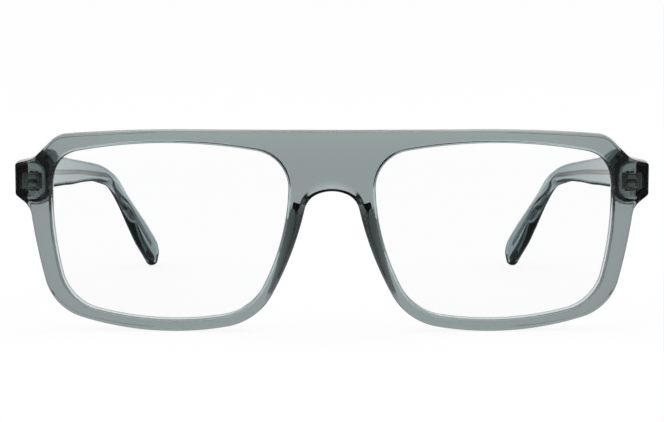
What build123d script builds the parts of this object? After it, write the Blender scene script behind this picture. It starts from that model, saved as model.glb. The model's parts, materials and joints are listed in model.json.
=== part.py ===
from build123d import *
import os
from math import asin, cos, degrees, radians, sin, sqrt

# Lens openings, measured in the plane of each lens
lens_width = 54.9
lens_height = 41.1
bridge_width = 20.1

# The rim around the openings, the bridge and the tabs, seen from the front
rim_below = 2.6
rim_above = 2.85
rim_nasal = 4.2
rim_side = 4.7
bridge_depth = 13.8
arch_drop = 2.35
tab_reach = 3.45
tab_height = 7.3
tab_drop = 11.85
waist_drop = 2.76
shoulder_rise = 0.9

# The front is a curved slab that leans over the cheeks
front_thickness = 4.0
face_curve_radius = 430.0
face_lean = 4.0
edge_round = 0.6
opening_round = 0.4

# The groove that holds each lens, and the lens
groove_depth = 0.6
groove_width = 1.8
lens_thickness = 1.6
lens_clearance = 0.1
lens_bevel = 0.35

# Thick end pieces behind the tabs
end_piece_depth = 6.0
end_piece_width = 6.7
end_piece_height = 8.4
end_piece_draft = 44.0
end_piece_corner = 2.6

# Hinges: one knuckle of the temple between two of the front
hinge_drop = 1.3
hinge_height = 4.0
hinge_play = 0.06
middle_knuckle_share = 1 / 3
knuckle_radius = 1.25
knuckle_gap = 0.15
leaf_thickness = 0.9
front_leaf_width = 4.7
temple_leaf_length = 8.0
lug_depth = 1.0
lug_width = 3.0
lug_length = 4.0
lug_gap = 0.4
lug_round = 0.6

# Hinge screws
screw_radius = 0.6
screw_play = 0.05
screw_head_radius = 1.05
screw_head_height = 0.55
screw_slot_width = 0.3
screw_slot_depth = 0.25

# Temples
temple_thickness = 3.0
butt_gap = 0.08
straight_length = 10.0
bend_length = 95.4
bend_bow = 12.7
bend_angle = 30.9
tip_length = 44.5
tip_bow = 9.8
neck_height = 3.8
paddle_height = 7.0
tip_lower_share = 0.33
tip_upper_share = 0.44
temple_round_share = 0.40

# The wire inside each temple
wire_radius = 0.65
wire_play = 0.05

# Nose pads, fixed to the back of the nasal rims
pad_depth = 4.2
pad_flare = 12.0
pad_round_share = 0.13

# Room past a face for every cut
overrun = 1.0

front_height = rim_below + lens_height + rim_above
arch_height = front_height - bridge_depth
tab_centre = front_height - tab_drop
lens_in = bridge_width / 2
lens_splay = asin((lens_in + lens_width / 2) / face_curve_radius)
lens_span = lens_width * cos(lens_splay)
lens_centre = lens_in + lens_span / 2
rim_edge = lens_in + lens_span + rim_side
tab_edge = rim_edge + tab_reach
back_radius = face_curve_radius - front_thickness
temple_round = temple_round_share * temple_thickness
butt_offset = knuckle_radius + knuckle_gap
bend_turn = radians(bend_angle)


def sag(x):
    """How far the curved front face lies back at x."""
    return face_curve_radius - sqrt(face_curve_radius**2 - x**2)


def bowed(start, end, bow_share):
    """A side from start to end that bulges to the right of its way by a share of its length."""
    return SagittaArc(start, end, -bow_share * (Vector(*end) - Vector(*start)).length)


def rounded(wire, corners):
    """Round the wire's corner nearest each point by its radius."""
    for point, radius in corners:
        corner = wire.vertices().sort_by_distance(Vector(*point))[0]
        wire = wire.fillet_2d(radius, [corner])
    return wire


# Corners of a lens opening, as shares of the lens box from its lower nasal corner:
# across, up, radius over the lens height, bow of the side that follows
opening_shares = [
    (0.171, 0.054, 0.318, 0.072),
    (0.925, 0.093, 0.272, 0.059),
    (0.988, 0.917, 0.189, 0.060),
    (0.004, 0.925, 0.213, 0.088),
]


def opening_face(grow=0.0):
    """The lens opening in the lens plane, or that outline grown by a margin."""
    points = [
        ((across - 0.5) * lens_width, rim_below + up * lens_height)
        for across, up, radius, bow in opening_shares
    ]
    sides = [
        bowed(point, points[(index + 1) % len(points)], opening_shares[index][3])
        for index, point in enumerate(points)
    ]
    corners = [
        (point, shares[2] * lens_height) for point, shares in zip(points, opening_shares)
    ]
    face = Face(rounded(Wire(sides), corners))
    if not grow:
        return face
    arcs = offset(face, grow, kind=Kind.ARC).edges()
    return Face(Wire([ThreePointArc(arc @ 0, arc @ 0.5, arc @ 1) for arc in arcs]))


# Corner radii of the front's outline as shares of its height, from the bridge's arch
# down the nose, along the bottom and up to the brow
outline_radius_shares = (0.107, 0.318, 0.255, 0.097, 0.019, 0.015, 0.110, 0.125)
nasal_bow_share = 0.050
bottom_bow_share = 0.081
side_bow_share = 0.023
toe_across_share, toe_up_share = 0.212, 0.058
heel_back_share, heel_up_share = 0.0945, 0.108
shoulder_back_share = 0.0102
brow_back_share, brow_up_share = 0.1141, 0.9658
brow_flat_share = 0.458


def nasal_side():
    """The ends of the front's edge along the nose, from the arch down to the toe."""
    nose_edge = lens_in - rim_nasal
    toe_edge = nose_edge + toe_across_share * lens_span
    return (nose_edge, arch_height - arch_drop), (toe_edge, toe_up_share * front_height)


def front_outline():
    """The front's outer outline, worked out for one half and mirrored."""
    crown = (0, arch_height)
    arch, toe = nasal_side()
    heel = (rim_edge - heel_back_share * lens_span, heel_up_share * front_height)
    tab_low = (tab_edge, tab_centre - tab_height / 2)
    waist = (rim_edge, tab_low[1] - waist_drop)
    tab_high = (tab_edge, tab_centre + tab_height / 2)
    shoulder = (rim_edge - shoulder_back_share * lens_span, tab_high[1] + shoulder_rise)
    brow = (rim_edge - brow_back_share * lens_span, brow_up_share * front_height)
    flat_end = (brow_flat_share * rim_edge, front_height)
    half = [
        TangentArc(crown, arch, tangent=(1, 0)),
        bowed(arch, toe, nasal_bow_share),
        bowed(toe, heel, bottom_bow_share),
        bowed(heel, waist, side_bow_share),
        Line(waist, tab_low),
        Line(tab_low, tab_high),
        Line(tab_high, shoulder),
        Line(shoulder, brow),
        TangentArc(flat_end, brow, tangent=(1, 0)),
        Line(flat_end, (0, front_height)),
    ]
    wire = Wire(half + [edge.mirror(Plane.YZ) for edge in half])
    points = (arch, toe, heel, waist, tab_low, tab_high, shoulder, brow)
    corners = [
        ((side * x, z), share * front_height)
        for (x, z), share in zip(points, outline_radius_shares)
        for side in (1, -1)
    ]
    return Face(rounded(wire, corners))


def drum(radius):
    """A tall cylinder about the axis that the front curves around."""
    return Pos(0, face_curve_radius, front_height / 2) * Cylinder(radius, 3 * front_height)


def through(face, plane):
    """A prism of a face, set in a plane, that runs through the front both ways."""
    depth = sag(tab_edge) + end_piece_depth + front_thickness
    return extrude(plane * face, depth, both=True)


lens_plane = Plane(
    origin=(lens_centre, sag(lens_centre), 0),
    x_dir=(cos(lens_splay), sin(lens_splay), 0),
    z_dir=(sin(lens_splay), -cos(lens_splay), 0),
)


def both_sides(shape):
    """The shape and its mirror image across the nose."""
    return [shape, mirror(shape, about=Plane.YZ)]


def band(outer_depth, thickness):
    """The curved layer between two depths behind the front face."""
    return drum(face_curve_radius - outer_depth) - drum(
        face_curve_radius - outer_depth - thickness
    )


def lens_groove():
    """The channel around one opening that the lens snaps into."""
    return through(opening_face(groove_depth), lens_plane) & band(
        (front_thickness - groove_width) / 2, groove_width
    )


def curved_slab():
    """The front's slab with its openings and lens grooves, upright in its own frame."""
    slab = through(front_outline(), Plane.XZ) & band(0, front_thickness)
    skins = slab.faces().sort_by(SortBy.AREA)[-2:]
    slab = fillet([edge for skin in skins for edge in skin.edges()], edge_round)
    for opening in both_sides(through(opening_face(), lens_plane)):
        slab -= opening
    skins = slab.faces().sort_by(SortBy.AREA)[-2:]
    rims = [edge for skin in skins for wire in skin.inner_wires() for edge in wire.edges()]
    slab = fillet(rims, opening_round)
    for cut in both_sides(lens_groove()):
        slab -= cut
    return slab


def lens():
    """One lens, bevelled where it sits in the groove."""
    outline = opening_face(groove_depth - lens_clearance)
    blank = through(outline, lens_plane) & band(
        (front_thickness - lens_thickness) / 2, lens_thickness
    )
    skins = blank.faces().sort_by(SortBy.AREA)[-2:]
    return chamfer([edge for skin in skins for edge in skin.edges()], lens_bevel)


# Corners of a nose pad: down the nasal side as a share of its length, away from the nose
# as a share of the nasal rim's width, bow of the side that follows
pad_shares = [
    (0.030, 0.120, 0.045),
    (0.870, -0.100, 0.02),
    (0.850, 0.240, -0.050),
    (0.060, 0.620, 0.04),
]


def nose_pad():
    """One pad behind the nasal rim, narrowing away from it."""
    arch, toe = (Vector(*end) for end in nasal_side())
    down = toe - arch
    away = Vector(-down.Y, down.X, 0).normalized() * rim_nasal
    points = [
        tuple(arch + down * down_share + away * away_share)[:2]
        for down_share, away_share, bow in pad_shares
    ]
    sides = [
        bowed(point, points[(index + 1) % len(points)], pad_shares[index][2])
        for index, point in enumerate(points)
    ]
    base = Plane.XZ.offset(-front_thickness) * Face(Wire(sides))
    flare = Vector(sin(radians(pad_flare)), cos(radians(pad_flare)), 0)
    pad = extrude(base, pad_depth, dir=flare) & drum(back_radius)
    rear_face = pad.faces().sort_by(Axis.Y)[-1]
    return fillet(rear_face.edges(), pad_round_share * rim_nasal)


def leaf_knuckle(low, high):
    """One knuckle about the hinge axis between two heights."""
    return extrude(Pos(0, 0, low) * Circle(knuckle_radius), high - low)


def knuckle_heights():
    """Top of the middle knuckle, foot of the upper one, top of the upper one."""
    middle_top = middle_knuckle_share * hinge_height / 2
    return middle_top - hinge_play / 2, middle_top + hinge_play / 2, hinge_height / 2


def block(low, high):
    """A box between two corners."""
    size = [b - a for a, b in zip(low, high)]
    return Pos(*[(a + b) / 2 for a, b in zip(low, high)]) * Box(*size)


def pin_hole():
    return Cylinder(screw_radius + screw_play, 2 * hinge_height)


def front_hinge():
    """The leaf in the end piece, with its two anchor lugs and two knuckles."""
    middle_top, upper_foot, upper_top = knuckle_heights()
    leaf_in = -knuckle_radius
    leaf_front = -butt_offset - leaf_thickness
    leaf = block(
        (leaf_in, leaf_front, -hinge_height / 2),
        (leaf_in + front_leaf_width, -butt_offset, hinge_height / 2),
    )
    lug_height = (hinge_height - lug_gap) / 2
    lug_face = RectangleRounded(lug_width, lug_height, lug_round)
    for side in (1, -1):
        centre = (leaf_in + front_leaf_width / 2, leaf_front, side * (lug_height + lug_gap) / 2)
        leaf += extrude(Plane(origin=centre, x_dir=(1, 0, 0), z_dir=(0, -1, 0)) * lug_face, lug_depth)
        foot, top = sorted((side * upper_foot, side * upper_top))
        leaf += leaf_knuckle(foot, top)
        leaf += block((-knuckle_radius, -butt_offset, foot), (knuckle_radius, 0, top))
    return leaf - pin_hole()


def temple_hinge():
    """The leaf in the temple's inner face, with one anchor lug and one knuckle."""
    middle_top = knuckle_heights()[0]
    leaf_start = -knuckle_radius
    leaf_out = butt_offset + leaf_thickness
    leaf = block(
        (butt_offset, leaf_start, -hinge_height / 2),
        (leaf_out, leaf_start + temple_leaf_length, hinge_height / 2),
    )
    leaf += block(
        (leaf_out, leaf_start + temple_leaf_length - lug_length, -lug_width / 2),
        (leaf_out + lug_depth, leaf_start + temple_leaf_length, lug_width / 2),
    )
    leaf += leaf_knuckle(-middle_top, middle_top)
    leaf += block((0, -knuckle_radius, -middle_top), (butt_offset, knuckle_radius, middle_top))
    return leaf - pin_hole()


def hinge_screw():
    """The slotted screw that pins the knuckles."""
    shank = Cylinder(screw_radius, hinge_height)
    head = Pos(0, 0, (hinge_height + screw_head_height) / 2) * Cylinder(
        screw_head_radius, screw_head_height
    )
    top = hinge_height / 2 + screw_head_height
    slot = block(
        (-screw_slot_width / 2, -2 * screw_head_radius, top - screw_slot_depth),
        (screw_slot_width / 2, 2 * screw_head_radius, top + overrun),
    )
    return shank + head - slot


# Sections from the hinge to the bend: along over the bend's length, rise and height
# over the tab's height, pitch over the bend's angle
temple_shares = [
    (0.110, 0.140, 1.000, 0.0),
    (0.340, 0.174, 1.010, 0.0),
    (0.560, 0.200, 0.980, 0.03),
    (0.660, 0.168, 0.890, 0.06),
    (0.770, 0.152, 0.738, 0.12),
    (0.930, 0.023, 0.575, 0.32),
]
front_rise_share = 0.137
# Sections of the tip: along over its length, rise over the tab's height, height from the
# neck's to the paddle's, pitch over the bend's angle
tip_shares = [
    (0.06, -0.078, 0.0, 0.80),
    (0.28, -0.038, 0.03, 1.0),
    (0.55, -0.075, 0.69, 1.0),
    (0.72, -0.085, 1.0, 1.0),
    (0.84, -0.064, 1.0, 1.0),
]


def bow(along):
    """How far the temple's middle line has bowed in at a distance behind the hinge."""
    if along <= straight_length:
        return 0.0
    if along <= bend_length:
        return bend_bow * ((along - straight_length) / (bend_length - straight_length)) ** 2
    return bend_bow + tip_bow * (along - bend_length) / (tip_length * cos(bend_turn))


def section_plane(along, rise, pitch):
    """A plane square to the temple at a distance behind the hinge."""
    step = temple_thickness
    inward = asin((bow(along + step) - bow(along)) / step)
    middle = butt_offset + temple_thickness / 2
    return Plane(
        origin=(middle - bow(along), along, rise),
        x_dir=(cos(inward), sin(inward), 0),
        z_dir=(-sin(inward) * cos(pitch), cos(inward) * cos(pitch), -sin(pitch)),
    )


def tip_station(along_share, rise_share):
    """The distance and rise of the tip's middle line, a share of its length on."""
    run = along_share * tip_length
    rise = rise_share * tab_height - run * sin(bend_turn)
    return bend_length + run * cos(bend_turn), rise


def temple_end(plane):
    """The rounded end of the paddle, from a plane square to the tip."""
    end_length = (1 - tip_shares[-1][0]) * tip_length
    half = paddle_height / 2
    low, high = (end_length, -half), (end_length, half)
    corners = [(low, tip_lower_share * paddle_height), (high, tip_upper_share * paddle_height)]
    outline = Wire(Polyline((0, -half), low, high, (0, half), close=True).edges())
    end = Face(rounded(outline, corners))
    side_plane = Plane(origin=plane.origin, x_dir=plane.z_dir, z_dir=plane.x_dir)
    cap = extrude(side_plane * end, temple_thickness / 2, both=True)
    sides = cap.faces().sort_by(SortBy.AREA)[-2:]
    long_edges = [
        edge
        for face in sides
        for edge in face.edges()
        if (edge.center() - plane.origin).dot(plane.z_dir) > temple_round / 2
    ]
    return fillet(long_edges, temple_round)


def temple_blank():
    """The whole temple before its hinge and wire are let in."""
    start = -butt_offset + butt_gap
    stations = [(start, front_rise_share * tab_height, tab_height, 0)]
    stations += [
        (along * bend_length, rise * tab_height, height * tab_height, pitch * bend_turn)
        for along, rise, height, pitch in temple_shares
    ]
    for along, rise, growth, pitch in tip_shares:
        height = neck_height + growth * (paddle_height - neck_height)
        stations.append((*tip_station(along, rise), height, pitch * bend_turn))
    planes = [section_plane(along, rise, pitch) for along, rise, height, pitch in stations]
    sections = [
        plane * RectangleRounded(temple_thickness, station[2], temple_round)
        for plane, station in zip(planes, stations)
    ]
    return loft(sections) + temple_end(planes[-1])


# The wire's path: along over the bend's length and rise over the tab's height, then
# along over the tip's length and rise over the tab's height
wire_shares = [(0.40, 0.19), (0.72, 0.15), (0.96, 0.0)]
wire_tip_shares = [(0.35, -0.064), (0.83, -0.064)]
wire_front_rise_share = 0.13
wire_bend_radius_share = 0.3


def core_wire(radius, end_play=0.0):
    """The wire that stiffens the temple, from the hinge leaf to the paddle."""
    stations = [(temple_leaf_length - knuckle_radius, wire_front_rise_share * tab_height)]
    stations += [(along * bend_length, rise * tab_height) for along, rise in wire_shares]
    stations += [tip_station(*shares) for shares in wire_tip_shares]
    points = [section_plane(along, rise, 0).origin for along, rise in stations]
    last_way = (points[-1] - points[-2]).normalized()
    points[-1] = points[-1] + last_way * end_play
    path = FilletPolyline(*points, radius=wire_bend_radius_share * tip_length)
    section = Plane(origin=path @ 0, z_dir=path % 0) * Circle(radius)
    return sweep(section, path=path)


lean = Rot(X=face_lean)
hinge_x = tab_edge - temple_thickness - butt_offset
upright_hinge = Pos(
    hinge_x, sag(hinge_x) + end_piece_depth + butt_offset, tab_centre - hinge_drop
)
hinge_point = Pos((lean * upright_hinge).position)


def hinge_frame(pitch):
    """The hinge's place, tilted for a temple that runs down at a pitch in degrees."""
    return hinge_point * Rot(X=-pitch)


def resting_pitch(temple, ground):
    """The pitch at which the temple's tip touches the ground together with the rims."""
    pitch = 0.0
    settling_steps = 6
    for _ in range(settling_steps):
        lowest = (hinge_frame(pitch) * temple).bounding_box().min.Z
        pitch += degrees(asin((lowest - ground) / (bend_length + tip_length)))
    return pitch


def end_piece(frame):
    """The thick flat-backed lump behind a tab, sloping down to the slab all round."""
    inboard = tab_edge - end_piece_width - hinge_x
    back_plane = Plane(
        origin=(inboard + end_piece_width, -butt_offset, 0), x_dir=(1, 0, 0), z_dir=(0, -1, 0)
    )
    face = RectangleRounded(2 * end_piece_width, end_piece_height, end_piece_corner)
    lump = frame * extrude(back_plane * face, 2 * end_piece_depth, taper=-end_piece_draft)
    lump &= lean * through(front_outline(), Plane.XZ)
    lump &= lean * drum(face_curve_radius - front_thickness / 2)
    return lump - lean * through(opening_face(), lens_plane) - lean * lens_groove()


def front_solid(slab, frame):
    """The whole front: the slab, its end pieces and the pockets for the hinge leaves."""
    front = slab
    for lump, leaf in zip(both_sides(end_piece(frame)), both_sides(frame * front_hinge())):
        front = front + lump - leaf
    return front


slab = lean * curved_slab()
blank = temple_blank()
pitch = resting_pitch(blank, slab.bounding_box().min.Z)
frame = hinge_frame(pitch)

pieces = {"front": front_solid(slab, frame)}
left_pieces = {
    "lens": lean * lens(),
    "nose_pad": lean * nose_pad(),
    "front_hinge": frame * front_hinge(),
    "temple_hinge": frame * temple_hinge(),
    "hinge_screw": frame * hinge_screw(),
    "temple": frame * (blank - temple_hinge() - core_wire(wire_radius + wire_play, wire_play)),
    "temple_core": frame * core_wire(wire_radius),
}
for name, piece in left_pieces.items():
    pieces[name + "_left"], pieces[name + "_right"] = both_sides(piece)

# The origin lies on the table under the middle of the open glasses
box = Compound(children=list(pieces.values())).bounding_box()
place = Pos(0, -(box.min.Y + box.max.Y) / 2, -box.min.Z)
hinge = place * hinge_point
print("hinge at", hinge.position, "pitch", pitch, "depth offset", place.position)

os.makedirs("parts", exist_ok=True)
for name, piece in pieces.items():
    export_step((place * piece).solid(), f"parts/{name}.step")
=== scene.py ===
# %% [markdown]
# # Flat-topped acetate eyeglasses
# The pair is milled from clear grey cellulose acetate, tumbled to a gloss, and carries two clear
# demo lenses. Almost everything that the eye sees is light that went through plastic, so this
# lesson spends its effort on clean, closed, well-rounded solids: glass-like shaders show every
# dent in a mesh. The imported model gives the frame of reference, the lenses, the screws and the
# core wires.

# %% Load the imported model
import json
from math import asin, atan2, ceil, cos, hypot, pi, radians, sin, sqrt, tan

import bmesh
import bpy
import numpy as np
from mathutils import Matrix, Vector
from mathutils.geometry import delaunay_2d_cdt


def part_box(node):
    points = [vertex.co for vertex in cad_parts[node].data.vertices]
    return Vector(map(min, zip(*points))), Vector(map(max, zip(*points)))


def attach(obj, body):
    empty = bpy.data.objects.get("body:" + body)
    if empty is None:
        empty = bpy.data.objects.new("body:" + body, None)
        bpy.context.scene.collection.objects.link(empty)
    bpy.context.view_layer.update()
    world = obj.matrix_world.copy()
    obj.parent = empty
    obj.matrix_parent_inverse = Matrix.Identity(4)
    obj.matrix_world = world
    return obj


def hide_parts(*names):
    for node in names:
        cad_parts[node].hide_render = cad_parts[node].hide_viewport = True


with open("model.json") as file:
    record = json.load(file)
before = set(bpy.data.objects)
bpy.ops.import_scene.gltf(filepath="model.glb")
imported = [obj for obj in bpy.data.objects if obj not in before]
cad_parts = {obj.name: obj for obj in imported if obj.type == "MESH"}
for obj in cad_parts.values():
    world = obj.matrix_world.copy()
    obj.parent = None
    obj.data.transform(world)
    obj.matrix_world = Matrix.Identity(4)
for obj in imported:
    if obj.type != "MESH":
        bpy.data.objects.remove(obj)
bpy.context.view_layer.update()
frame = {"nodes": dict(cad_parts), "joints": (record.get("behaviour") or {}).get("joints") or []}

# %% [markdown]
# ## Sizes
# A frame maker writes millimetres, so the sizes below are in millimetres, and one function
# turns them into Blender's metres at the end. They are the same driving sizes that the packed
# model was made from, so the visible shapes sit where its solids are. Only small forms differ:
# slimmer pads, rounder tips and finer edges.

# %% Sizes of the front
MM = 0.001
lens_width, lens_height, bridge_width = 54.9, 41.1, 20.1
rim_below, rim_above, rim_nasal, rim_side = 2.6, 2.85, 4.2, 4.7
bridge_depth, arch_drop = 13.8, 2.35
tab_reach, tab_height, tab_drop, waist_drop, shoulder_rise = 3.45, 7.3, 11.85, 2.76, 0.9
front_thickness, face_curve_radius = 4.0, 430.0
face_lean = radians(4.0)
edge_round, opening_round = 0.6, 0.4
groove_depth, groove_width = 0.6, 1.8

front_height = rim_below + lens_height + rim_above
arch_height = front_height - bridge_depth
tab_centre = front_height - tab_drop
lens_in = bridge_width / 2
lens_splay = asin((lens_in + lens_width / 2) / face_curve_radius)
lens_span = lens_width * cos(lens_splay)
lens_centre = lens_in + lens_span / 2
rim_edge = lens_in + lens_span + rim_side
tab_edge = rim_edge + tab_reach
print("front %.1f mm wide, %.1f mm high" % (2 * tab_edge, front_height))

# %% [markdown]
# ## Outlines from arcs
# A frame's outline is drawn as a few big arcs whose corners are then rounded. To round a corner,
# offset both sides inwards by the radius: where the offsets cross is the rounding's centre. That
# works for lines and arcs alike, and gives points whose spacing we choose, which a bevelled
# polygon would not.

# %% Arcs and rounded corners
point_gap = 0.5
corner_gap = 0.12


def arc(start, end, bow, count):
    """Points from start to end on an arc that bulges to the right of its way by bow times its chord."""
    start, end = np.asarray(start, float), np.asarray(end, float)
    share = np.linspace(0, 1, count)[:, None]
    chord = end - start
    if abs(bow) < 1e-6:
        return start + share * chord
    half = 2 * atan2(2 * bow, 1)
    turn = (2 * share - 1) * half
    right = np.array([chord[1], -chord[0]])
    radius = 0.5 / sin(half)
    return (start + end) / 2 + chord * radius * np.sin(turn) + right * radius * (np.cos(turn) - cos(half))


def left_normals(points):
    """The direction to the left of the way at each point of an open line."""
    way = np.gradient(points, axis=0)
    return np.stack([-way[:, 1], way[:, 0]], 1) / np.linalg.norm(way, axis=1)[:, None]


def crossing(first, second):
    """Where two lines of points cross: the place along each, in steps, and the point."""
    p, r = first[:-1, None], np.diff(first, axis=0)[:, None]
    q, s = second[None, :-1], np.diff(second, axis=0)[None]
    across = r[..., 0] * s[..., 1] - r[..., 1] * s[..., 0]
    gap = q - p
    t = (gap[..., 0] * s[..., 1] - gap[..., 1] * s[..., 0]) / across
    u = (gap[..., 0] * r[..., 1] - gap[..., 1] * r[..., 0]) / across
    hits = np.argwhere((t >= 0) & (t <= 1) & (u >= 0) & (u <= 1))
    i, j = max(hits, key=lambda hit: hit[0] - hit[1])
    return i + t[i, j], j + u[i, j], first[i] + t[i, j] * (first[i + 1] - first[i])


def at_step(points, step):
    """The point at a place along a line of points, given in steps."""
    low = min(int(step), len(points) - 2)
    return points[low] + (step - low) * (points[low + 1] - points[low])


# %% A closed outline with rounded corners
fine_count = 600
corner_share, least_corner_steps, least_side_steps = 1 / 12, 4, 2


def rounded_outline(corners, bows, radii):
    """A closed outline of bowed sides whose corners are rounded, as points about point_gap apart."""
    count = len(corners)
    sides = [arc(corners[i], corners[(i + 1) % count], bows[i], fine_count) for i in range(count)]
    first, last, turns = [0.0] * count, [fine_count - 1.0] * count, [None] * count
    for i, radius in enumerate(radii):
        before, after = sides[i - 1], sides[i]
        if not radius:
            continue
        a, b = before[-1] - before[-2], after[1] - after[0]
        side = 1 if a[0] * b[1] - a[1] * b[0] > 0 else -1
        inner_before = before + side * radius * left_normals(before)
        inner_after = after + side * radius * left_normals(after)
        last[i - 1], first[i], centre = crossing(inner_before, inner_after)
        turns[i] = (centre, side, radius)
    outline = []
    for i, side in enumerate(sides):
        if turns[i]:
            centre, way, radius = turns[i]
            ends = [at_step(sides[i - 1], last[i - 1]) - centre, at_step(side, first[i]) - centre]
            start, stop = (atan2(end[1], end[0]) for end in ends)
            sweep = (stop - start) * way % (2 * pi) * way
            gap = min(point_gap, max(corner_gap, radius * corner_share))
            steps = max(least_corner_steps, ceil(abs(sweep) * radius / gap))
            angles = start + sweep * np.arange(steps) / steps
            outline.append(centre + radius * np.stack([np.cos(angles), np.sin(angles)], 1))
        length = np.linalg.norm(at_step(side, last[i]) - at_step(side, first[i]))
        steps = max(least_side_steps, ceil(length / point_gap))
        places = first[i] + (last[i] - first[i]) * np.arange(steps) / steps
        outline.append(np.array([at_step(side, place) for place in places]))
    return np.vstack(outline)


def outward(points):
    """The direction out of a closed outline that runs anticlockwise, at each of its points."""
    way = np.roll(points, -1, axis=0) - np.roll(points, 1, axis=0)
    return np.stack([way[:, 1], -way[:, 0]], 1) / np.linalg.norm(way, axis=1)[:, None]


# %% [markdown]
# ## The front's outline and the two openings
# Seen from the front the shape is a navigator: a straight brow line, stepped tabs at the hinges
# and a plain solid bridge over the nose. Corners are kept as a short list of named places and
# shares, and the wearer's right half is the mirror image of the left.

# %% Outline of the front
outline_radius_shares = (0.107, 0.318, 0.255, 0.097, 0.019, 0.015, 0.110, 0.125)
nasal_bow_share, bottom_bow_share, side_bow_share = 0.050, 0.081, 0.023
toe_across_share, toe_up_share = 0.212, 0.058
heel_back_share, heel_up_share = 0.0945, 0.108
shoulder_back_share = 0.0102
brow_back_share, brow_up_share, brow_flat_share = 0.1141, 0.9658, 0.458

nose_edge = lens_in - rim_nasal
arch_end = (nose_edge, arch_height - arch_drop)
toe = (nose_edge + toe_across_share * lens_span, toe_up_share * front_height)
heel = (rim_edge - heel_back_share * lens_span, heel_up_share * front_height)
tab_low = (tab_edge, tab_centre - tab_height / 2)
waist = (rim_edge, tab_low[1] - waist_drop)
tab_high = (tab_edge, tab_centre + tab_height / 2)
shoulder = (rim_edge - shoulder_back_share * lens_span, tab_high[1] + shoulder_rise)
brow = (rim_edge - brow_back_share * lens_span, brow_up_share * front_height)
flat_end = (brow_flat_share * rim_edge, front_height)


def front_outline():
    """The front's outer outline in its upright plane, anticlockwise."""
    fall = atan2(flat_end[1] - brow[1], brow[0] - flat_end[0])
    half = [arch_end, toe, heel, waist, tab_low, tab_high, shoulder, brow, flat_end]
    half_bows = [nasal_bow_share, bottom_bow_share, side_bow_share, 0, 0, 0, 0, tan(fall / 2) / 2]
    half_radii = [share * front_height for share in outline_radius_shares] + [0]
    corners = half + [(-x, z) for x, z in reversed(half)]
    bows = half_bows + [0] + half_bows[::-1] + [-arch_drop / (2 * nose_edge)]
    return rounded_outline(corners, bows, half_radii + half_radii[::-1])


opening_shares = [
    (0.171, 0.054, 0.318, 0.072),
    (0.925, 0.093, 0.272, 0.059),
    (0.988, 0.917, 0.189, 0.060),
    (0.004, 0.925, 0.213, 0.088),
]


def opening_outline():
    """One lens opening in the plane of its lens, from the lens's middle line, anticlockwise."""
    corners = [
        ((across - 0.5) * lens_width, rim_below + up * lens_height)
        for across, up, radius, bow in opening_shares
    ]
    bows = [shares[3] for shares in opening_shares]
    return rounded_outline(corners, bows, [shares[2] * lens_height for shares in opening_shares])


outer = front_outline()
opening = opening_outline()
print("outline points:", len(outer), "opening points:", len(opening))

# %% [markdown]
# ## The curved sheet
# The sheet is bent to a cylinder of 430 mm, the usual face curve. Its back carries the end
# pieces and the nose pads, so the back is a height field: a number that says how far back the
# plastic reaches at each place. A boolean union could join these lumps too, but a height field
# keeps the surface in one piece and blends the feet smoothly, as polishing does.

# %% Depth of the front and back faces
end_piece_depth, end_piece_width, end_piece_height = 6.0, 6.7, 8.4
end_piece_draft, end_piece_corner, end_piece_lift = radians(45.5), 2.6, 0.45
temple_thickness, hinge_drop, butt_offset = 3.0, 1.3, 1.4
pad_depth, pad_flare = 4.2, radians(12.0)
lump_blend, foot_blend = 0.12, 0.25

left_joint = next(joint for joint in frame["joints"] if joint["name"] == "fold_left")
hinge_pitch = atan2(left_joint["axis"][1], left_joint["axis"][2])
hinge_x = tab_edge - temple_thickness - butt_offset


def drum_depth(x, behind):
    """How far back the cylinder lies at x, for a layer some way behind the front face."""
    return face_curve_radius - np.sqrt((face_curve_radius - behind) ** 2 - x**2)


hinge_y = drum_depth(hinge_x, 0) + end_piece_depth + butt_offset
hinge_z = tab_centre - hinge_drop
tilt = face_lean + hinge_pitch


def above_zero(value, blend):
    """The value where it is positive, else zero, with the kink blended."""
    return (value + np.sqrt(value**2 + blend**2)) / 2


def end_piece_back(x, z):
    """How far back the lump behind a tab reaches, before it is joined to the sheet."""
    across = np.abs(x) - tab_edge
    back = np.full_like(x, hinge_y - butt_offset)
    for _ in range(10):
        behind, up = back - hinge_y, z - hinge_z
        depth = behind * cos(tilt) - up * sin(tilt)
        height = behind * sin(tilt) + up * cos(tilt)
        past_x = np.abs(across) - (end_piece_width - end_piece_corner)
        past_z = np.abs(height - end_piece_lift) - (end_piece_height / 2 - end_piece_corner)
        outside = np.hypot(np.maximum(past_x, 0), np.maximum(past_z, 0)) - end_piece_corner
        outside += np.minimum(np.maximum(past_x, past_z), 0)
        wanted = -butt_offset - above_zero(outside, lump_blend) / tan(end_piece_draft)
        back = back + (wanted - depth) / cos(tilt)
    return back


# %% [markdown]
# The nose pads are wedges of the same plastic, glued to the back of the nasal rims and polished
# until no seam is left. Each climbs steeply from the lens's side to the nose and gets narrower
# and lower on its way down. The distance to the pad's outline drives the height.

# %% Nose pads as part of the height field
pad_shares = [
    (0.60, -2.00), (0.80, -2.00), (0.97, -0.45), (0.97, -0.10),
    (0.90, -0.05), (0.70, 0.00), (0.55, 0.10), (0.43, 0.25), (0.24, 0.48), (0.05, 0.60), (0.03, -2.00),
]
pad_steepness, pad_foot, pad_brink = 1.35, 0.08, 0.4
# How far behind the sheet the painted shade on the pads reaches its full strength.
pad_shade_depth = 0.7


def pad_outline():
    """The pad's outline in the front's plane, left open wide on the side of the nose."""
    down = np.subtract(toe, arch_end)
    away = np.array([-down[1], down[0]]) / hypot(*down) * rim_nasal
    return np.array([np.array(arch_end) + down * along + away * across for along, across in pad_shares])


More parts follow.
